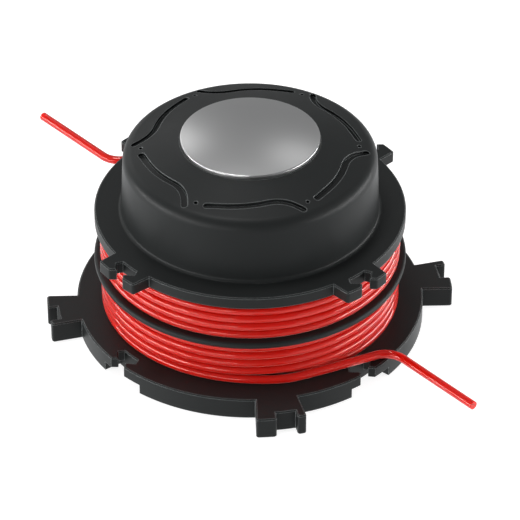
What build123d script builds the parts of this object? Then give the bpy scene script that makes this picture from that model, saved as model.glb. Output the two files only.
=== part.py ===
from build123d import *
import os
from math import acos, cos, degrees, hypot, pi, radians, sin, tan

# A trimmer line spool: a black moulded spool with a domed bump knob, a metal wear button pressed into
# the dome, and red nylon line wound in two chambers with one free tail leaving each of them.
# Millimetres. The Z axis is the spool's axis, with the button on top and the lower flange's skirt at
# z = 0. Angles are in degrees from +X, counter-clockwise from above.

# Line
LINE_DIAMETER = 2.7
TURN_GAP = 0.25
LINE_LAYERS = 3
WINDING_FIT = 0.1

# Drum and flanges, from the bottom up. A flange's width is how far it stands out from the drum.
DRUM_RADIUS = 40.0
DRUM_WALL = 2.0
LOWER_FLANGE_WIDTH = 15.0
LOWER_FLANGE_HEIGHT = 7.2
LOWER_PLATE_THICKNESS = 4.0
SKIRT_WALL = 2.4
LOWER_CHAMBER_HEIGHT = 14.8
DIVIDER_WIDTH = 9.15
DIVIDER_THICKNESS = 2.2
DIVIDER_EDGE_RADIUS = 0.9
LOOP_SLOT_WIDTH = 5.0
LOOP_SLOT_ANGLE = 90.0
UPPER_CHAMBER_HEIGHT = 12.8
UPPER_FLANGE_WIDTH = 8.7
UPPER_FLANGE_THICKNESS = 4.2

# Tabs and notches in the flange rims, four of each round the spool
REPEATS = 4
LOWER_TAB_LENGTH = 9.6
LOWER_TAB_NOTCH_DEPTH = 3.1
LOWER_TAB_START = 1.65
LOWER_TAB_NOTCH_START = 7.3
LOWER_TAB_NOTCH_END = 13.05
LOWER_TAB_END = 15.5
SKIRT_GAP_START = 34.8
SKIRT_GAP_END = 51.6
UPPER_TAB_LENGTH = 5.95
UPPER_TAB_START = 32.6
UPPER_TAB_END = 49.6
UPPER_TAB_FLARE = 1.4
RIM_NOTCH_ANGLE = 41.55
RIM_NOTCH_MOUTH = 6.2
RIM_LIP_INSET = 1.75
RIM_LIP_GAP = 3.2
RIM_POCKET_INSET = 3.7
RIM_POCKET_WIDTH = 8.0
RIM_NOTCH_DEPTH = 5.45
RIM_NOTCH_FLOOR = 6.2
TAB_CORNER_RADIUS = 0.8
RIM_EDGE_CHAMFER = 0.4

# Dome, which stands a small step out from the drum
DOME_STEP = 0.3
DOME_DRAFT = 0.9
DOME_WALL_HEIGHT = 20.4
DOME_ROOT_FILLET = 1.0
SHOULDER_FILLET = 3.9
ROOF_RISE = 4.3
ROOF_THICKNESS = 2.8
DOME_WALL_THICKNESS = 2.7
SOCKET_DEPTH = 1.6

# Hub and ribs inside the dome
HUB_BORE_RADIUS = 6.1
HUB_BORE_DEPTH = 42.0
HUB_WALL = 3.4
RIB_COUNT = 6
RIB_THICKNESS = 1.8
RIB_DEPTH = 9.0

# Grooves in the roof, set in from the dome's shoulder. A bend takes its share of the shorter run.
GROOVE_COUNT = 6
GROOVE_WIDTH = 2.0
GROOVE_DEPTH = 1.1
GROOVE_START = 7.0
GROOVE_START_INSET = 5.7
GROOVE_MIDDLE_INSET = 6.8
GROOVE_MIDDLE_TURN = 20.0
GROOVE_HOOK_INSET = 8.7
GROOVE_HOOK_TURN = 42.5
GROOVE_END_INSET = 3.5
GROOVE_END_TURN = 49.5
GROOVE_BEND_SHARE = 0.6
GROOVE_HOOK_SHARE = 0.7
DIMPLE_RADIUS = 0.6
DIMPLE_TURN = -6.0

# Wear button
BUTTON_RADIUS = 21.65
BUTTON_FIT = 0.15
BUTTON_RIM_HEIGHT = 2.8
BUTTON_CROWN = 2.0
BUTTON_EDGE_FILLET = 0.4
SPIGOT_RADIUS = 4.0
SPIGOT_FIT = 0.05
SPIGOT_LENGTH = 8.0
SPIGOT_END_GAP = 2.3

# Line tails. The route is the lower one's, each point as its distance out from the drum and its angle.
# The upper one is the same, half a turn round.
TAKE_OFF_LIFT = 0.3
TAKE_OFF_RISE = 7.5
TAKE_OFF_SWEEP = 49.0
TAKE_OFF_CLEARANCE = 0.1
TAIL_BEND_SHARE = 0.45
TAIL_ROUTE = [(13.15, -39.35), (17.46, -37.15), (50.42, -41.23)]

# Heights and radii that follow from the sizes above
turn_pitch = LINE_DIAMETER + TURN_GAP
drum_mouth_radius = DRUM_RADIUS - DRUM_WALL
lower_flange_radius = DRUM_RADIUS + LOWER_FLANGE_WIDTH
lower_tab_radius = lower_flange_radius + LOWER_TAB_LENGTH
divider_radius = DRUM_RADIUS + DIVIDER_WIDTH
upper_flange_radius = DRUM_RADIUS + UPPER_FLANGE_WIDTH
upper_tab_radius = upper_flange_radius + UPPER_TAB_LENGTH
dome_base_radius = DRUM_RADIUS + DOME_STEP
shoulder_radius = dome_base_radius - DOME_DRAFT
socket_radius = BUTTON_RADIUS + BUTTON_FIT
hub_radius = HUB_BORE_RADIUS + HUB_WALL
plate_bottom = LOWER_FLANGE_HEIGHT - LOWER_PLATE_THICKNESS
divider_bottom = LOWER_FLANGE_HEIGHT + LOWER_CHAMBER_HEIGHT
divider_top = divider_bottom + DIVIDER_THICKNESS
upper_flange_bottom = divider_top + UPPER_CHAMBER_HEIGHT
upper_flange_top = upper_flange_bottom + UPPER_FLANGE_THICKNESS
shoulder_height = upper_flange_top + DOME_WALL_HEIGHT
roof_edge = shoulder_height + ROOF_RISE
socket_floor = roof_edge - SOCKET_DEPTH
ceiling = socket_floor - ROOF_THICKNESS
bore_top = socket_floor - SPIGOT_LENGTH - SPIGOT_END_GAP
hub_bottom = bore_top - HUB_BORE_DEPTH
roof_slope = ROOF_RISE / (shoulder_radius - socket_radius)
layer_step = (LINE_DIAMETER**2 - (turn_pitch / 2) ** 2) ** 0.5
winding_radius = DRUM_RADIUS + LINE_DIAMETER + (LINE_LAYERS - 1) * layer_step


def polar(radius, angle):
    """A point in plan at a radius and an angle."""
    return (radius * cos(radians(angle)), radius * sin(radians(angle)))


def bend_radius(before, corner, after, share):
    """Radius of the arc that rounds a corner and takes a share of the shorter of its two runs."""
    run_in = Vector(*corner) - Vector(*before)
    run_out = Vector(*after) - Vector(*corner)
    half_turn = radians(run_in.get_angle(run_out)) / 2
    return share * min(run_in.length, run_out.length) / tan(half_turn)


def roof_height(radius):
    """Height of the dome's sloping roof at a radius."""
    return roof_edge - roof_slope * (radius - socket_radius)


def turned(points, radii):
    """A solid of revolution about Z from a half section of (radius, height) points with rounded corners."""
    with BuildPart() as solid:
        with BuildSketch(Plane.XZ):
            with BuildLine():
                FilletPolyline(*points, radius=radii, close=True)
            make_face()
        revolve(axis=Axis.Z)
    return solid.part


def stepped_disc(steps, corner_radius):
    """A flat disc whose rim steps in and out, with the corners of its longest steps rounded.

    Each step is a radius and the angles where it starts and ends, which are the same for a corner.
    Straight edges join the steps.
    """
    spans = []
    for repeat in range(REPEATS):
        turn = 360 / REPEATS * repeat
        spans += [(radius, start + turn, end + turn) for radius, start, end in steps]
    with BuildSketch() as disc:
        with BuildLine():
            for (radius, start, end), (next_radius, next_start, _) in zip(spans, spans[1:] + spans[:1]):
                if end > start:
                    CenterArc((0, 0), radius, start, end - start)
                Line(polar(radius, end), polar(next_radius, next_start))
        make_face()
        if corner_radius:
            reach = max(radius for radius, _, _ in steps) - 0.01
            corners = [corner for corner in disc.vertices() if hypot(corner.X, corner.Y) > reach]
            fillet(corners, corner_radius)
    return disc.sketch


def notched_rim(rim_radius, start, end):
    """Steps of a rim with one notch, whose mouth narrows to two lips with a wider pocket behind them."""
    shape = [
        (0, RIM_NOTCH_MOUTH),
        (RIM_LIP_INSET, RIM_LIP_GAP),
        (RIM_POCKET_INSET, RIM_POCKET_WIDTH),
        (RIM_NOTCH_DEPTH, RIM_NOTCH_FLOOR),
    ]
    sides = [(rim_radius - inset, degrees(width / 2 / (rim_radius - inset))) for inset, width in shape]
    before = [(radius, RIM_NOTCH_ANGLE - half) for radius, half in sides]
    after = [(radius, RIM_NOTCH_ANGLE + half) for radius, half in reversed(sides)]
    return [
        (rim_radius, start, before[0][1]),
        *[(radius, angle, angle) for radius, angle in before[1:3]],
        (rim_radius - RIM_NOTCH_DEPTH, before[3][1], after[0][1]),
        *[(radius, angle, angle) for radius, angle in after[1:3]],
        (rim_radius, after[3][1], end),
    ]


def rim_plate(outline, hole_radius, bottom, thickness):
    """A flat plate of the given outline with a round hole and chamfered rim edges."""
    plate = extrude(Pos(0, 0, bottom) * outline, thickness)
    rim_edges = [plate.faces().sort_by(Axis.Z)[end].outer_wire().edges() for end in (0, -1)]
    plate = chamfer(rim_edges[0] + rim_edges[1], RIM_EDGE_CHAMFER)
    hole = Pos(0, 0, bottom) * Cylinder(
        hole_radius, thickness, align=(Align.CENTER, Align.CENTER, Align.MIN)
    )
    return plate - hole


def shell():
    """Drum, divider, dome and hub as one turned shell, open at the bottom."""
    flange_core = DRUM_RADIUS + UPPER_FLANGE_WIDTH / 2
    ceiling_corner = shoulder_radius - DOME_WALL_THICKNESS
    corners = [
        ((drum_mouth_radius, plate_bottom), 0),
        ((DRUM_RADIUS, plate_bottom), 0),
        ((DRUM_RADIUS, divider_bottom), 0),
        ((divider_radius, divider_bottom), DIVIDER_EDGE_RADIUS),
        ((divider_radius, divider_top), DIVIDER_EDGE_RADIUS),
        ((DRUM_RADIUS, divider_top), 0),
        ((DRUM_RADIUS, upper_flange_bottom), 0),
        ((flange_core, upper_flange_bottom), 0),
        ((flange_core, upper_flange_top), 0),
        ((dome_base_radius, upper_flange_top), DOME_ROOT_FILLET),
        ((shoulder_radius, shoulder_height), SHOULDER_FILLET),
        ((socket_radius, roof_edge), 0),
        ((socket_radius, socket_floor), 0),
        ((SPIGOT_RADIUS + SPIGOT_FIT, socket_floor), 0),
        ((SPIGOT_RADIUS + SPIGOT_FIT, bore_top), 0),
        ((HUB_BORE_RADIUS, bore_top), 0),
        ((HUB_BORE_RADIUS, hub_bottom), 0),
        ((hub_radius, hub_bottom), 0),
        ((hub_radius, ceiling), 0),
        ((socket_radius, ceiling), 0),
        ((ceiling_corner, shoulder_height - ROOF_THICKNESS), SHOULDER_FILLET - ROOF_THICKNESS),
    ]
    return turned([point for point, _ in corners], [radius for _, radius in corners])


def lower_flange():
    """Notched plate with toothed tabs, on a skirt that turns in behind each rim notch."""
    tab_notch_radius = lower_tab_radius - LOWER_TAB_NOTCH_DEPTH
    pocket_radius = lower_flange_radius - RIM_NOTCH_DEPTH
    skirt_inside = lower_flange_radius - SKIRT_WALL
    next_tab = LOWER_TAB_START + 360 / REPEATS
    wall_angle = degrees(SKIRT_WALL / pocket_radius)
    tab = [
        (lower_tab_radius, LOWER_TAB_START, LOWER_TAB_NOTCH_START),
        (tab_notch_radius, LOWER_TAB_NOTCH_START, LOWER_TAB_NOTCH_END),
        (lower_tab_radius, LOWER_TAB_NOTCH_END, LOWER_TAB_END),
    ]
    plate_rim = notched_rim(lower_flange_radius, LOWER_TAB_END, next_tab)
    skirt_rim = [
        (lower_flange_radius, LOWER_TAB_END, SKIRT_GAP_START),
        (pocket_radius, SKIRT_GAP_START, SKIRT_GAP_END),
        (lower_flange_radius, SKIRT_GAP_END, next_tab),
    ]
    skirt_hollow = [
        (pocket_radius - SKIRT_WALL, SKIRT_GAP_START - wall_angle, SKIRT_GAP_END + wall_angle),
        (skirt_inside, SKIRT_GAP_END + wall_angle, SKIRT_GAP_START - wall_angle + 360 / REPEATS),
    ]
    plate = rim_plate(
        stepped_disc(tab + plate_rim, TAB_CORNER_RADIUS),
        drum_mouth_radius,
        plate_bottom,
        LOWER_PLATE_THICKNESS,
    )
    skirt = stepped_disc(tab + skirt_rim, TAB_CORNER_RADIUS) - stepped_disc(skirt_hollow, 0)
    skirt = extrude(skirt, plate_bottom + RIM_EDGE_CHAMFER)
    skirt = chamfer(skirt.edges().filter_by_position(Axis.Z, 0, 0), RIM_EDGE_CHAMFER)
    return plate + skirt


def upper_flange():
    """Plate with four tabs, each split into two prongs above a notch of the lower rim."""
    next_tab = UPPER_TAB_START + 360 / REPEATS
    tab = notched_rim(upper_tab_radius, UPPER_TAB_START, UPPER_TAB_END)
    between = (upper_flange_radius, UPPER_TAB_END + UPPER_TAB_FLARE, next_tab - UPPER_TAB_FLARE)
    outline = stepped_disc([*tab, between], TAB_CORNER_RADIUS)
    return rim_plate(outline, DRUM_RADIUS, upper_flange_bottom, UPPER_FLANGE_THICKNESS)


def ribs():
    """Radial ribs under the roof, from the hub to the dome's wall."""
    reach = shoulder_radius - DOME_WALL_THICKNESS / 2
    one = Pos((HUB_BORE_RADIUS + hub_radius) / 2, 0, ceiling + ROOF_THICKNESS / 2) * Box(
        reach - (HUB_BORE_RADIUS + hub_radius) / 2,
        RIB_THICKNESS,
        RIB_DEPTH + ROOF_THICKNESS / 2,
        align=(Align.MIN, Align.CENTER, Align.MAX),
    )
    under_roof = turned(
        [
            (0, 0),
            (reach, 0),
            (reach, roof_height(reach) - ROOF_THICKNESS),
            (socket_radius, socket_floor - ROOF_THICKNESS / 2),
            (0, socket_floor - ROOF_THICKNESS / 2),
        ],
        0,
    )
    return (Part() + PolarLocations(0, RIB_COUNT) * one) & under_roof


def roof_grooves():
    """Cutter for the hooked grooves and the dimples between them, with a floor along the roof."""
    route = [
        polar(shoulder_radius - GROOVE_START_INSET, GROOVE_START),
        polar(shoulder_radius - GROOVE_MIDDLE_INSET, GROOVE_START + GROOVE_MIDDLE_TURN),
        polar(shoulder_radius - GROOVE_HOOK_INSET, GROOVE_START + GROOVE_HOOK_TURN),
        polar(shoulder_radius - GROOVE_END_INSET, GROOVE_START + GROOVE_END_TURN),
    ]
    bends = [bend_radius(*route[:3], GROOVE_BEND_SHARE), bend_radius(*route[1:], GROOVE_HOOK_SHARE)]
    with BuildSketch() as plan:
        with BuildLine() as path:
            FilletPolyline(*route, radius=bends)
        trace(path.line, line_width=GROOVE_WIDTH)
        with Locations(path.line @ 0, path.line @ 1):
            Circle(GROOVE_WIDTH / 2)
        with Locations(polar(shoulder_radius - GROOVE_START_INSET, GROOVE_START + DIMPLE_TURN)):
            Circle(DIMPLE_RADIUS)
    columns = PolarLocations(0, GROOVE_COUNT) * extrude(plan.sketch, roof_edge + ROOF_RISE)
    floor = turned(
        [
            (0, 0),
            (dome_base_radius, 0),
            (dome_base_radius, roof_height(dome_base_radius) - GROOVE_DEPTH),
            (0, roof_height(0) - GROOVE_DEPTH),
        ],
        0,
    )
    return Part() + columns - floor


def spool_body():
    """The whole black moulding."""
    reach = divider_radius - DRUM_RADIUS
    slot = Rot(0, 0, LOOP_SLOT_ANGLE) * Pos(DRUM_RADIUS + WINDING_FIT, 0, divider_bottom) * Box(
        reach,
        LOOP_SLOT_WIDTH,
        DIVIDER_THICKNESS,
        align=(Align.MIN, Align.CENTER, Align.MIN),
    )
    return shell() + lower_flange() + upper_flange() + ribs() - slot - roof_grooves()


def wear_button():
    """Crowned metal disc with a spigot that plugs the hole above the hub's bore."""
    rim = socket_floor + BUTTON_RIM_HEIGHT
    crown_radius = (BUTTON_RADIUS**2 + BUTTON_CROWN**2) / (2 * BUTTON_CROWN)
    with BuildPart() as button:
        with BuildSketch(Plane.XZ) as section:
            with BuildLine():
                Polyline(
                    (0, rim + BUTTON_CROWN),
                    (0, socket_floor - SPIGOT_LENGTH),
                    (SPIGOT_RADIUS, socket_floor - SPIGOT_LENGTH),
                    (SPIGOT_RADIUS, socket_floor),
                    (BUTTON_RADIUS, socket_floor),
                    (BUTTON_RADIUS, rim),
                )
                RadiusArc((0, rim + BUTTON_CROWN), (BUTTON_RADIUS, rim), crown_radius)
            make_face()
            fillet(section.vertices().sort_by_distance((BUTTON_RADIUS, rim))[0], BUTTON_EDGE_FILLET)
        revolve(axis=Axis.Z)
    return button.part


def wound_turns(floor, chamber_height):
    """The turns of line in one chamber as one ring, a ridge for each turn of the outer layer."""
    turns = int(chamber_height // turn_pitch)
    valley = winding_radius - LINE_DIAMETER / 2
    flat = LINE_DIAMETER * tan(pi / 8)
    inside = DRUM_RADIUS + WINDING_FIT
    section = [(inside, floor + turns * turn_pitch), (inside, floor)]
    for turn in range(turns):
        middle = floor + (turn + 0.5) * turn_pitch
        section += [
            (valley, middle - turn_pitch / 2),
            (winding_radius, middle - flat / 2),
            (winding_radius, middle + flat / 2),
        ]
    section.append((valley, floor + turns * turn_pitch))
    return turned(section, 0)


def take_off(height):
    """The end of the last turn, which rises out of the winding and runs straight for the tail's bend."""
    bend_out, bend_angle = TAIL_ROUTE[0]
    radius = winding_radius + TAKE_OFF_LIFT
    angle = bend_angle - degrees(acos(radius / (DRUM_RADIUS + bend_out)))
    foot = polar(radius, angle)
    centre = polar(TAKE_OFF_RISE, angle)
    clear_radius = winding_radius + LINE_DIAMETER / 2 + TAKE_OFF_CLEARANCE
    run = polar((clear_radius**2 - radius**2) ** 0.5, angle + 90)
    end = (foot[0] + run[0], foot[1] + run[1])
    with BuildLine(Plane.XY.offset(height)) as path:
        CenterArc(centre, radius - TAKE_OFF_RISE, angle - TAKE_OFF_SWEEP, TAKE_OFF_SWEEP)
        Line(foot, end)
    section = Plane(path.line @ 0, z_dir=path.line % 0) * Circle(LINE_DIAMETER / 2)
    return sweep(section, path.line), end


def tail(start, height):
    """A tail tube along straight runs joined by tangent arcs as large as the runs allow."""
    route = [polar(DRUM_RADIUS + out, angle) for out, angle in TAIL_ROUTE]
    points = [(x, y, height) for x, y in [start] + route]
    radii = [bend_radius(*corner, TAIL_BEND_SHARE) for corner in zip(points, points[1:], points[2:])]
    path = FilletPolyline(*points, radius=radii)
    section = Plane(path @ 0, z_dir=path % 0) * Circle(LINE_DIAMETER / 2)
    tube = sweep(section, path)
    expected = pi * LINE_DIAMETER**2 / 4 * path.length
    print("tail bend radii", [round(radius, 1) for radius in radii])
    print("tail length", round(path.length, 1), "volume over section times length", tube.volume / expected)
    return tube


def line_half(floor, chamber_height, leaving_turn, quarter_turns):
    """Winding and tail of one chamber. The tail leaves the given turn, turned round by quarter turns."""
    height = floor + (leaving_turn + 0.5) * turn_pitch
    stub, end = take_off(height)
    place = Rot(0, 0, 90 * quarter_turns)
    return wound_turns(floor, chamber_height) + place * stub, place * tail(end, height)


last_upper_turn = int(UPPER_CHAMBER_HEIGHT // turn_pitch) - 1
lower_winding, lower_tail = line_half(LOWER_FLANGE_HEIGHT, LOWER_CHAMBER_HEIGHT, 0, 0)
upper_winding, upper_tail = line_half(divider_top, UPPER_CHAMBER_HEIGHT, last_upper_turn, 2)

nodes = {
    "spool_body": spool_body(),
    "wear_button": wear_button(),
    "lower_line_winding": lower_winding,
    "upper_line_winding": upper_winding,
    "lower_line_tail": lower_tail,
    "upper_line_tail": upper_tail,
}

os.makedirs("parts", exist_ok=True)
for name, shape in nodes.items():
    export_step(shape, f"parts/{name}.step")
    print(name, "volume", round(shape.volume), "solids", len(shape.solids()))
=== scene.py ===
import math
from typing import NamedTuple

import bpy
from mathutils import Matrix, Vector


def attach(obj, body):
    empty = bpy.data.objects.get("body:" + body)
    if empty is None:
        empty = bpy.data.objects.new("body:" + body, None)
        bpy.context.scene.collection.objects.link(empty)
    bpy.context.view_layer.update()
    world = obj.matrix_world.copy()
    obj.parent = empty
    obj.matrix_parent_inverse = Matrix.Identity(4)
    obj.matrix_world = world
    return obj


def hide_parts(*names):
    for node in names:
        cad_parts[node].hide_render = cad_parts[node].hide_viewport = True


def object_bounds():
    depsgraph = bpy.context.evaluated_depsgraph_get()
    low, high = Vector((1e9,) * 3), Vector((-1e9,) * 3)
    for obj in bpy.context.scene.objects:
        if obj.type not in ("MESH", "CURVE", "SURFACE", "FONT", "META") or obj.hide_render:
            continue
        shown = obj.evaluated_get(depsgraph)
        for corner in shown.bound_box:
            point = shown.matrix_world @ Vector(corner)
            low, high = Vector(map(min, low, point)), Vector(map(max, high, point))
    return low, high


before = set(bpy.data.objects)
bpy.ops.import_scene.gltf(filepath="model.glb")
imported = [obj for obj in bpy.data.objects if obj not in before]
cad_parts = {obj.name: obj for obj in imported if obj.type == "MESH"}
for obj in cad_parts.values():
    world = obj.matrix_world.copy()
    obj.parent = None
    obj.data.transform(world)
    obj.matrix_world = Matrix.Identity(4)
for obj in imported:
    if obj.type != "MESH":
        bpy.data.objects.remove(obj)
CAD_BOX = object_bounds()

bl_info = {
    "name": "Trimmer line spool",
    "version": (1, 0, 0),
    "blender": (4, 5, 0),
    "location": "View3D > Sidebar > Spool",
    "description": "Dresses the CAD frame of a trimmer line spool and sets it on a studio floor",
    "category": "Object",
}

MM = 0.001


def linear(code):
    """Linear red, green, blue and alpha of an sRGB hex colour."""
    parts = [int(code[i : i + 2], 16) / 255 for i in (1, 3, 5)]
    return tuple(c / 12.92 if c <= 0.04045 else ((c + 0.055) / 1.055) ** 2.4 for c in parts) + (1.0,)


def smooth(share):
    """Eases from 0 to 1 with a level start and end."""
    share = min(1.0, max(0.0, share))
    return share * share * (3 - 2 * share)


def between(first, second, share):
    """The value at a share of the way from the first to the second."""
    return first + (second - first) * share


def add_node(tree, kind, settings=None, inputs=None):
    """Adds a node, sets its properties and fills its sockets with values or links."""
    node = tree.nodes.new(kind)
    for name, value in (settings or {}).items():
        setattr(node, name, value)
    for name, value in (inputs or {}).items():
        if isinstance(value, bpy.types.NodeSocket):
            tree.links.new(value, node.inputs[name])
        else:
            node.inputs[name].default_value = value
    return node


def new_material(name):
    """An empty node material and the tree that its shader goes in."""
    material = bpy.data.materials.new(name)
    material.use_nodes = True
    material.node_tree.nodes.clear()
    return material, material.node_tree


def set_material(obj, material):
    """Gives an object this material alone."""
    obj.data.materials.clear()
    obj.data.materials.append(material)


class BodySettings(bpy.types.PropertyGroup):
    """Black moulding."""

    colour: bpy.props.FloatVectorProperty(
        name="Colour", description="Colour of the black nylon", subtype="COLOR", size=4,
        min=0, max=1, default=linear("#212323"),
    )
    # Painted highlight: the paler colour painted along every edge, where rounded edges would catch the
    # light.
    edge_highlight_paint: bpy.props.FloatVectorProperty(
        name="Edge colour", description="Colour of the edges where handling has rubbed them",
        subtype="COLOR", size=4, min=0, max=1, default=linear("#848888"),
    )
    roughness: bpy.props.FloatProperty(
        name="Roughness", description="Roughness of the moulded face", default=0.43,
        min=0, max=1, subtype="FACTOR",
    )
    edge_radius: bpy.props.FloatProperty(
        name="Edge radius", description="Rounding that the edges seem to have", default=0.45 * MM,
        min=0, unit="LENGTH", precision=5,
    )
    # The mould's real grain is under 0.1 mm. It is drawn coarser, as fine as the render can show it.
    grain: bpy.props.FloatProperty(
        name="Grain", description="Size of the spark-eroded grain on the moulding", default=0.35 * MM,
        min=0.05 * MM, unit="LENGTH", precision=5,
    )


class ButtonSettings(bpy.types.PropertyGroup):
    """Metal wear button."""

    colour: bpy.props.FloatVectorProperty(
        name="Colour", description="Colour of the bare metal", subtype="COLOR", size=4,
        min=0, max=1, default=linear("#c4c4c4"),
    )
    roughness: bpy.props.FloatProperty(
        name="Roughness", description="Roughness of the satin face", default=0.28,
        min=0, max=1, subtype="FACTOR",
    )
    # Real turning marks are about 0.1 mm apart. They are drawn coarser, as fine as the render can show.
    ring_spacing: bpy.props.FloatProperty(
        name="Ring spacing", description="Distance between the fine turning rings", default=0.4 * MM,
        min=0.05 * MM, unit="LENGTH", precision=5,
    )


class LineSettings(bpy.types.PropertyGroup):
    """Cutting line, wound in two chambers."""

    diameter: bpy.props.FloatProperty(
        name="Diameter", description="Diameter of the cutting line", default=2.7 * MM,
        min=1 * MM, unit="LENGTH", precision=5,
    )
    pitch: bpy.props.FloatProperty(
        name="Pitch", description="Distance between the middles of neighbouring turns",
        default=2.95 * MM, min=1 * MM, unit="LENGTH", precision=5,
    )
    wander: bpy.props.FloatProperty(
        name="Wander", description="How far a turn strays from its place", default=0.06 * MM,
        min=0, unit="LENGTH", precision=5,
    )
    colour: bpy.props.FloatVectorProperty(
        name="Colour", description="Colour of the red nylon", subtype="COLOR", size=4,
        min=0, max=1, default=linear("#c8160b"),
    )


class StageSettings(bpy.types.PropertyGroup):
    """Floor, lights and camera."""

    floor_colour: bpy.props.FloatVectorProperty(
        name="Floor", description="Colour of the studio floor", subtype="COLOR", size=4,
        min=0, max=1, default=linear("#bcbcbc"),
    )
    left_power: bpy.props.FloatProperty(
        name="Left light", description="Power of the soft light on the left",
        default=5.6, min=0, unit="POWER",
    )
    right_power: bpy.props.FloatProperty(
        name="Right light", description="Power of the soft light on the right",
        default=5.4, min=0, unit="POWER",
    )
    top_power: bpy.props.FloatProperty(
        name="Top light", description="Power of the soft light above the spool",
        default=3.1, min=0, unit="POWER",
    )
    back_power: bpy.props.FloatProperty(
        name="Back lights", description="Power of the panel at the back left",
        default=1.7, min=0, unit="POWER",
    )


class SpoolSettings(bpy.types.PropertyGroup):
    """All the settings of the spool."""

    body: bpy.props.PointerProperty(type=BodySettings)
    button: bpy.props.PointerProperty(type=ButtonSettings)
    line: bpy.props.PointerProperty(type=LineSettings)
    stage: bpy.props.PointerProperty(type=StageSettings)


# The line's route, in millimetres and degrees. The drum, the chambers' floors, the take-off and the tail
# are the CAD source's. A tail point is its distance out from the drum and its angle. The layers' radii
# are to the line's middle, with each layer's turns in the hollows of the layer below.
DRUM_RADIUS = 40.0
LAYER_RADII = (41.35, 43.612, 45.873)
LOWER_CHAMBER_FLOOR = 7.2
UPPER_CHAMBER_FLOOR = 24.2
TAIL_ROUTE = ((13.15, -39.35), (17.46, -37.15), (50.42, -41.23))
TAKE_OFF_RADIUS = 47.523
LIFT_SWEEP = 42.0

# The fold in the divider's slot, as three points: how far out from the first layer and how far round.
FOLD_ANGLE = 90.0
FOLD_HEIGHT = 23.1
FOLD_OUT = (0.6, 0.5, 0.3)
FOLD_TURN = (-1.2, -1.0, 2.4)
FOLD_DROP = 1.4
FOLD_LEAN = 0.25
FIRST_TURN_START = 11.0

# The turns. A crossing is where a turn steps to its next place, and rides up over the layer below.
POINTS_PER_TURN = 16
CROSSING_HALF_WIDTH = 16.0
RIDE_HALF_WIDTH = 25.6
RIDE_UP = (0.0, 0.45, 0.9)
FOOT_GAP = 3.0

# Where the second layer's first turn comes out and goes back, past its crossing.
FILLER_OUT = (190.0, 218.0)
FILLER_BACK = (310.0, 340.0)

# How turns stray, outward and upward: share of the wander, waves per radian, shift from turn to turn.
STRAY_OUT = (0.5, 0.37, 1.3)
STRAY_UP = (1.0, 0.61, 2.1)


class Chamber(NamedTuple):
    """One half of the line: where it is wound, and the angles where it crosses and leaves."""

    side: str
    floor: float
    turns: int
    from_top: bool
    crossing: float
    leaving: float
    fills_gap: bool


CHAMBERS = (
    Chamber("lower", LOWER_CHAMBER_FLOOR, 5, True, 90.0, TAIL_ROUTE[0][1], True),
    Chamber("upper", UPPER_CHAMBER_FLOOR, 4, False, 148.0, TAIL_ROUTE[0][1] + 180, False),
)


def polar(radius, angle, height):
    """A point in millimetres from a radius, an angle in degrees and a height."""
    turn = math.radians(angle)
    return Vector((radius * math.cos(turn), radius * math.sin(turn), height))


def turn_places(chamber):
    """Layer and place of each turn in the order of winding, to and fro across the chamber."""
    places = []
    for layer in range(len(LAYER_RADII)):
        nested = layer % 2
        row = [turn + nested / 2 for turn in range(chamber.turns - nested)]
        if chamber.from_top != bool(nested):
            row.reverse()
        places += [(layer, place) for place in row]
    return places


def stray(wander, kind, angle, index):
    """How far a turn is from its true place at an angle."""
    share, waves, shift = kind
    return wander * share * math.sin(waves * math.radians(angle) + shift * index)


def fold_points(height, down):
    """The half fold in the divider's slot, which leads up or down to the first turn's height."""
    radii = [LAYER_RADII[0] + out for out in FOLD_OUT]
    angles = [FOLD_ANGLE + turn for turn in FOLD_TURN]
    heights = [FOLD_HEIGHT, FOLD_HEIGHT - down * FOLD_DROP, height + down * FOLD_LEAN]
    return [polar(*place) for place in zip(radii, angles, heights)]


def tail_points(chamber, foot):
    """The straight run from the foot to the tail's kink, the kink, and the tail to its free end.

    One more point on each long run, as far from its corner as the kink's other corner, keeps it straight.
    """
    turn = chamber.leaving - TAIL_ROUTE[0][1]
    near, far, end = [polar(DRUM_RADIUS + out, angle + turn, foot.z) for out, angle in TAIL_ROUTE]
    kink = (far - near).length
    before = near + (foot - near).normalized() * kink
    after = far + (end - far).normalized() * kink
    return [before, near, far, after, end]


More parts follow.
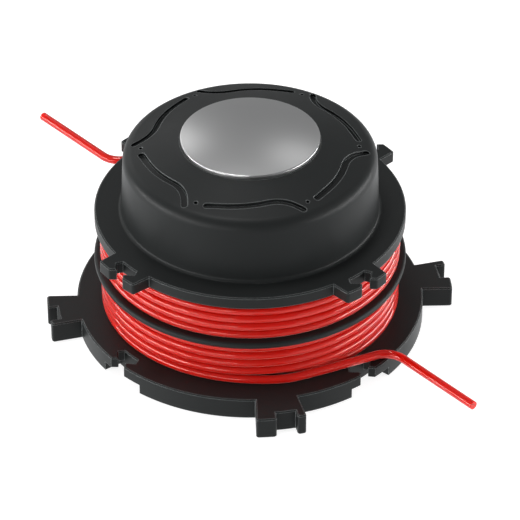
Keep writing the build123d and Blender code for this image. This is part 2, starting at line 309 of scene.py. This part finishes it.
def line_points(settings, chamber):
    """Control points of one half of the line, from the fold in the divider to the end of its tail.

    Each turn keeps its place and steps to the next at the crossing angle, where a layer also
    rides up over the one below. The last turn rises and leaves the spool at the leaving angle.
    Where that turn ends early, the second layer's first turn comes out to fill its place.
    """
    pitch = settings.pitch / MM
    wander = settings.wander / MM
    places = turn_places(chamber)
    layers = [layer for layer, place in places]
    heights = [chamber.floor + (place + 0.5) * pitch for layer, place in places]
    foot = chamber.leaving - math.degrees(math.acos(TAKE_OFF_RADIUS / (DRUM_RADIUS + TAIL_ROUTE[0][0])))
    end = chamber.crossing + 360 * (len(places) - 1) + (foot - chamber.crossing) % 360
    # The spline touches its control polygon at the middle of each side, so the corners stand further out.
    widen = 1 / math.cos(math.pi / POINTS_PER_TURN)
    step = 360 / POINTS_PER_TURN

    points = fold_points(heights[0], 1 if chamber.from_top else -1)
    angle = FOLD_ANGLE + FIRST_TURN_START
    points.append(polar(LAYER_RADII[0] * widen, angle, heights[0]))
    angle += step
    while angle < end - FOOT_GAP:
        index = min(len(places) - 1, max(0, round((angle - chamber.crossing) / 360)))
        last = max(0, index - 1)
        offset = angle - chamber.crossing - 360 * index
        share = smooth(offset / (2 * CROSSING_HALF_WIDTH) + 0.5)
        radius = between(LAYER_RADII[layers[last]], LAYER_RADII[layers[index]], share)
        radius += RIDE_UP[layers[index]] * smooth(1 - abs(offset) / RIDE_HALF_WIDTH)
        radius += stray(wander, STRAY_OUT, angle, index)
        height = between(heights[last], heights[index], share) + stray(wander, STRAY_UP, angle, index)
        if chamber.fills_gap:
            past = angle - chamber.crossing - 360 * chamber.turns
            out = smooth((past - FILLER_OUT[0]) / (FILLER_OUT[1] - FILLER_OUT[0]))
            out *= smooth((FILLER_BACK[1] - past) / (FILLER_BACK[1] - FILLER_BACK[0]))
            radius += (LAYER_RADII[2] - LAYER_RADII[1]) * out
            height -= pitch / 2 * out
        lift = smooth((angle - end + LIFT_SWEEP) / LIFT_SWEEP)
        radius += (TAKE_OFF_RADIUS - LAYER_RADII[2]) * lift
        points.append(polar(radius * widen, angle, height))
        angle += step
    points.append(polar(TAKE_OFF_RADIUS, foot, heights[-1]))
    return points + tail_points(chamber, points[-1])


def line_curve(name, points, diameter):
    """A round line along one smooth spline through the control points, given in millimetres."""
    curve = bpy.data.curves.new(name, "CURVE")
    curve.dimensions = "3D"
    spline = curve.splines.new("NURBS")
    spline.points.add(len(points) - 1)
    for point, place in zip(spline.points, points):
        point.co = (*(place * MM), 1.0)
    spline.order_u = 3
    spline.use_endpoint_u = True
    spline.resolution_u = 8
    curve.resolution_u = 8
    curve.bevel_depth = diameter / 2
    curve.bevel_resolution = 5
    curve.use_fill_caps = True
    obj = bpy.data.objects.new(name, curve)
    bpy.context.scene.collection.objects.link(obj)
    return obj


class SPOOL_OT_line(bpy.types.Operator):
    """Winds the red line in both chambers and leads out its two tails"""

    bl_idname = "trimmer_spool.line"
    bl_label = "Wind the line"

    def execute(self, context):
        settings = context.scene.trimmer_spool.line
        material = red_nylon(settings)
        for chamber in CHAMBERS:
            side = chamber.side
            obj = line_curve(side + "_line", line_points(settings, chamber), settings.diameter)
            set_material(obj, material)
            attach(obj, "root")
            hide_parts(side + "_line_winding", side + "_line_tail")
        return {"FINISHED"}


def red_nylon(settings):
    """Extruded nylon line: glossy and a little clear, so light spreads inside it and its rims look pale.

    The gloss varies faintly from place to place. The sheen gives the pale rims, and the tint warms
    the highlights as the light spread round them does.
    """
    patch_size = 6 * MM
    light_spread = 4 * MM
    material, tree = new_material("red_nylon_line")
    place = add_node(tree, "ShaderNodeTexCoord")
    patches = add_node(
        tree, "ShaderNodeTexNoise", {"noise_dimensions": "3D"},
        {"Vector": place.outputs["Object"], "Scale": 1 / patch_size, "Detail": 3.0, "Roughness": 0.6},
    )
    rough = add_node(
        tree, "ShaderNodeMapRange", {},
        {
            "Value": patches.outputs["Fac"], "From Min": 0.3, "From Max": 0.7,
            "To Min": 0.06, "To Max": 0.1,
        },
    )
    shader = add_node(
        tree, "ShaderNodeBsdfPrincipled", {},
        {
            "Base Color": tuple(settings.colour),
            "Roughness": rough.outputs["Result"],
            "IOR": 1.53,
            "Specular IOR Level": 0.6,
            "Specular Tint": linear("#ffe6e1"),
            "Sheen Weight": 0.9,
            "Sheen Roughness": 0.3,
            "Sheen Tint": linear("#ff9a92"),
            "Subsurface Weight": 1.0,
            "Subsurface Radius": (1.0, 0.3, 0.2),
            "Subsurface Scale": light_spread,
        },
    )
    add_node(tree, "ShaderNodeOutputMaterial", {}, {"Surface": shader.outputs["BSDF"]})
    return material


class SPOOL_OT_body(bpy.types.Operator):
    """Gives the black moulding its satin nylon"""

    bl_idname = "trimmer_spool.body"
    bl_label = "Finish the body"

    def execute(self, context):
        settings = context.scene.trimmer_spool.body
        set_material(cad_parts["spool_body"], black_nylon(settings))
        return {"FINISHED"}


# A mix node's colour sockets, which share their names with its other sockets.
MIX_FIRST_COLOUR = 6
MIX_SECOND_COLOUR = 7
MIX_COLOUR_RESULT = 2


def black_nylon(settings):
    """Glass-filled nylon from a spark-eroded mould: satin black with a fine even grain.

    A painted highlight: where the rounded normal leaves the face's own, on outer and hollow edges alike, the
    colour is painted paler.
    """
    cloud_size = 14 * MM
    grain_depth = 0.03 * MM
    material, tree = new_material("black_glass_filled_nylon")
    place = add_node(tree, "ShaderNodeTexCoord")
    grain = add_node(
        tree, "ShaderNodeTexNoise", {},
        {"Vector": place.outputs["Object"], "Scale": 1 / settings.grain, "Detail": 2.0, "Roughness": 0.5},
    )
    cloud = add_node(
        tree, "ShaderNodeTexNoise", {},
        {"Vector": place.outputs["Object"], "Scale": 1 / cloud_size, "Detail": 4.0, "Roughness": 0.55},
    )
    soft_edge = add_node(tree, "ShaderNodeBevel", {"samples": 6}, {"Radius": settings.edge_radius})
    bump = add_node(
        tree, "ShaderNodeBump", {},
        {
            "Height": grain.outputs["Fac"], "Strength": 0.25, "Distance": grain_depth,
            "Normal": soft_edge.outputs["Normal"],
        },
    )
    rough = add_node(
        tree, "ShaderNodeMapRange", {},
        {
            "Value": cloud.outputs["Fac"], "From Min": 0.3, "From Max": 0.7,
            "To Min": settings.roughness - 0.03, "To Max": settings.roughness + 0.05,
        },
    )
    face = add_node(tree, "ShaderNodeNewGeometry")
    agreement = add_node(
        tree, "ShaderNodeVectorMath", {"operation": "DOT_PRODUCT"},
        {0: face.outputs["Normal"], 1: soft_edge.outputs["Normal"]},
    )
    # Painted highlight mask: edges, hollow ones too, are painted paler where the rounded normal leaves the
    # face's own.
    painted_edge_highlight = add_node(
        tree, "ShaderNodeMapRange", {},
        {
            "Value": agreement.outputs["Value"], "From Min": 0.98, "From Max": 0.85,
            "To Min": 0.0, "To Max": 1.0,
        },
    )
    # Mixes the painted edge highlight into the black.
    colour = add_node(
        tree, "ShaderNodeMix", {"data_type": "RGBA"},
        {
            "Factor": painted_edge_highlight.outputs["Result"],
            MIX_FIRST_COLOUR: tuple(settings.colour),
            MIX_SECOND_COLOUR: tuple(settings.edge_highlight_paint),
        },
    )
    shader = add_node(
        tree, "ShaderNodeBsdfPrincipled", {},
        {
            "Base Color": colour.outputs[MIX_COLOUR_RESULT],
            "Roughness": rough.outputs["Result"],
            "IOR": 1.53,
            "Specular IOR Level": 0.16,
            "Normal": bump.outputs["Normal"],
        },
    )
    add_node(tree, "ShaderNodeOutputMaterial", {}, {"Surface": shader.outputs["BSDF"]})
    return material


class SPOOL_OT_button(bpy.types.Operator):
    """Gives the wear button its turned metal"""

    bl_idname = "trimmer_spool.button"
    bl_label = "Finish the button"

    def execute(self, context):
        settings = context.scene.trimmer_spool.button
        set_material(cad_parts["wear_button"], turned_aluminium(settings))
        return {"FINISHED"}


def turned_aluminium(settings):
    """Aluminium, turned and then tumbled: a soft satin shine with very faint rings round the middle."""
    # A wave texture of scale 1 has about this distance between its rings.
    wave_spacing = 0.314
    ring_depth = 0.01 * MM
    material, tree = new_material("turned_aluminium")
    place = add_node(tree, "ShaderNodeTexCoord")
    rings = add_node(
        tree, "ShaderNodeTexWave",
        {"wave_type": "RINGS", "rings_direction": "Z"},
        {
            "Vector": place.outputs["Object"], "Scale": wave_spacing / settings.ring_spacing,
            "Distortion": 0.4, "Detail": 2.0,
        },
    )
    bump = add_node(
        tree, "ShaderNodeBump", {},
        {"Height": rings.outputs["Fac"], "Strength": 0.05, "Distance": ring_depth},
    )
    shader = add_node(
        tree, "ShaderNodeBsdfPrincipled", {},
        {
            "Base Color": tuple(settings.colour),
            "Metallic": 1.0,
            "Roughness": settings.roughness,
            "Normal": bump.outputs["Normal"],
        },
    )
    add_node(tree, "ShaderNodeOutputMaterial", {}, {"Surface": shader.outputs["BSDF"]})
    return material


# The camera that fits the photograph's frame: millimetres, and its rise above the floor in degrees.
CAMERA_LENS = 227.11
CAMERA_SENSOR = 36.0
CAMERA_SHIFT = (0.01904, -0.02575)
CAMERA_TARGET_HEIGHT = 25.0
CAMERA_DISTANCE = 1034.34
CAMERA_RISE = 36.2

# Sizes in metres of the floor, and of the gap that keeps it clear of the spool's lower face.
FLOOR_SIZE = 6.0
FLOOR_GAP = 0.05 * MM


class Softbox(NamedTuple):
    """A soft light in metres, with its power as a share of one of the stage's power settings."""

    name: str
    place: tuple
    aim_height: float
    size: tuple
    power: str
    share: float


SOFTBOXES = (
    Softbox("left_softbox", (-0.73, -0.2, 0.12), 0.03, (1.0, 0.14), "left_power", 1.0),
    Softbox("right_softbox", (0.73, 0.02, 0.12), 0.03, (0.9, 0.14), "right_power", 1.0),
    Softbox("front_left_strip", (-0.35, -0.68, 0.14), 0.03, (0.52, 0.09), "left_power", 0.2),
    Softbox("front_right_strip", (0.54, -0.54, 0.14), 0.03, (0.4, 0.06), "right_power", 0.06),
    Softbox("top_softbox", (-0.15, 0.13, 1.0), 0.03, (0.4, 0.16), "top_power", 1.0),
    Softbox("left_panel", (-0.54, 0.73, 0.5), 0.06, (0.7, 0.6), "back_power", 1.0),
    Softbox("right_panel", (0.19, 0.66, 0.76), 0.06, (0.2, 0.2), "back_power", 0.07),
)


def aimed(name, data, place, target):
    """Puts a camera or a light at a place, so that it looks at the target."""
    obj = bpy.data.objects.new(name, data)
    obj.location = place
    obj.rotation_euler = (Vector(target) - Vector(place)).to_track_quat("-Z", "Y").to_euler()
    bpy.context.scene.collection.objects.link(obj)
    return obj


def soft_light(box, settings):
    """A soft rectangular light, aimed at a point on the spool's axis."""
    light = bpy.data.lights.new(box.name, "AREA")
    light.shape = "RECTANGLE"
    light.size, light.size_y = box.size
    light.energy = getattr(settings, box.power) * box.share
    return aimed(box.name, light, box.place, (0, 0, box.aim_height))


def photo_camera():
    """The camera at the photograph's viewing angle, in front of the spool."""
    camera = bpy.data.cameras.new("camera")
    camera.lens = CAMERA_LENS
    camera.sensor_width = CAMERA_SENSOR
    camera.shift_x, camera.shift_y = CAMERA_SHIFT
    camera.clip_start = 0.05
    camera.clip_end = 20
    target = Vector((0, 0, CAMERA_TARGET_HEIGHT * MM))
    rise = math.radians(CAMERA_RISE)
    place = target + CAMERA_DISTANCE * MM * Vector((0, -math.cos(rise), math.sin(rise)))
    return aimed("camera", camera, place, target)


def studio_world():
    """Soft grey walls, darker on the camera's side, with more light from the light table than from above."""
    walls_in_front, walls_behind = 0.12, 0.36
    table_in_front, table_behind = 0.98, 1.5
    world = bpy.data.worlds.new("studio")
    world.use_nodes = True
    tree = world.node_tree
    tree.nodes.clear()
    place = add_node(tree, "ShaderNodeTexCoord")
    side = add_node(tree, "ShaderNodeSeparateXYZ", {}, {"Vector": place.outputs["Generated"]})
    above = add_node(
        tree, "ShaderNodeMapRange", {},
        {
            "Value": side.outputs["Y"], "From Min": -0.8, "From Max": -0.1,
            "To Min": walls_in_front, "To Max": walls_behind,
        },
    )
    below = add_node(
        tree, "ShaderNodeMapRange", {},
        {
            "Value": side.outputs["Y"], "From Min": -0.8, "From Max": -0.1,
            "To Min": table_in_front, "To Max": table_behind,
        },
    )
    strength = add_node(
        tree, "ShaderNodeMapRange", {},
        {
            "Value": side.outputs["Z"], "From Min": -0.3, "From Max": 0.1,
            "To Min": below.outputs["Result"], "To Max": above.outputs["Result"],
        },
    )
    walls = add_node(
        tree, "ShaderNodeBackground", {},
        {"Color": linear("#eeeff0"), "Strength": strength.outputs["Result"]},
    )
    add_node(tree, "ShaderNodeOutputWorld", {}, {"Surface": walls.outputs["Background"]})
    return world


class SPOOL_OT_stage(bpy.types.Operator):
    """Sets up the camera, the soft lights and the pale floor"""

    bl_idname = "trimmer_spool.stage"
    bl_label = "Set the stage"

    def execute(self, context):
        settings = context.scene.trimmer_spool.stage
        scene = context.scene
        scene.camera = photo_camera()
        for box in SOFTBOXES:
            soft_light(box, settings)
        scene.world = studio_world()

        floor_height = CAD_BOX[0].z - FLOOR_GAP
        bpy.ops.mesh.primitive_plane_add(size=FLOOR_SIZE, location=(0, 0, floor_height))
        floor = context.object
        floor.name = "floor"
        set_material(floor, white_acrylic(settings))
        # The world's lower half is the light table, so the floor itself stays out of what lights the spool.
        floor.visible_diffuse = False
        floor.visible_glossy = False

        scene.view_settings.view_transform = "Standard"
        return {"FINISHED"}


def white_acrylic(settings):
    """Matt white acrylic over a light table: almost white, with only a faint shadow."""
    material, tree = new_material("matt_white_acrylic")
    shader = add_node(
        tree, "ShaderNodeBsdfPrincipled", {},
        {
            "Base Color": tuple(settings.floor_colour),
            "Roughness": 0.9,
            "Specular IOR Level": 0.0,
            "Emission Color": (1.0, 1.0, 1.0, 1.0),
            "Emission Strength": 0.85,
        },
    )
    add_node(tree, "ShaderNodeOutputMaterial", {}, {"Surface": shader.outputs["BSDF"]})
    return material


class SPOOL_PT_panel(bpy.types.Panel):
    """Settings of the spool and the steps that make it"""

    bl_label = "Trimmer line spool"
    bl_idname = "SPOOL_PT_panel"
    bl_space_type = "VIEW_3D"
    bl_region_type = "UI"
    bl_category = "Spool"

    def draw(self, context):
        settings = context.scene.trimmer_spool
        for group, operator in (
            (settings.stage, "trimmer_spool.stage"),
            (settings.line, "trimmer_spool.line"),
            (settings.body, "trimmer_spool.body"),
            (settings.button, "trimmer_spool.button"),
        ):
            box = self.layout.box()
            for name in group.__annotations__:
                box.prop(group, name)
            box.operator(operator)


CLASSES = (
    BodySettings,
    ButtonSettings,
    LineSettings,
    StageSettings,
    SpoolSettings,
    SPOOL_OT_stage,
    SPOOL_OT_line,
    SPOOL_OT_body,
    SPOOL_OT_button,
    SPOOL_PT_panel,
)


def register():
    for cls in CLASSES:
        bpy.utils.register_class(cls)
    bpy.types.Scene.trimmer_spool = bpy.props.PointerProperty(type=SpoolSettings)


def unregister():
    del bpy.types.Scene.trimmer_spool
    for cls in reversed(CLASSES):
        bpy.utils.unregister_class(cls)


def main():
    register()
    bpy.ops.trimmer_spool.stage()
    bpy.ops.trimmer_spool.line()
    bpy.ops.trimmer_spool.body()
    bpy.ops.trimmer_spool.button()
    bpy.context.view_layer.update()


if __name__ == "__main__":
    main()
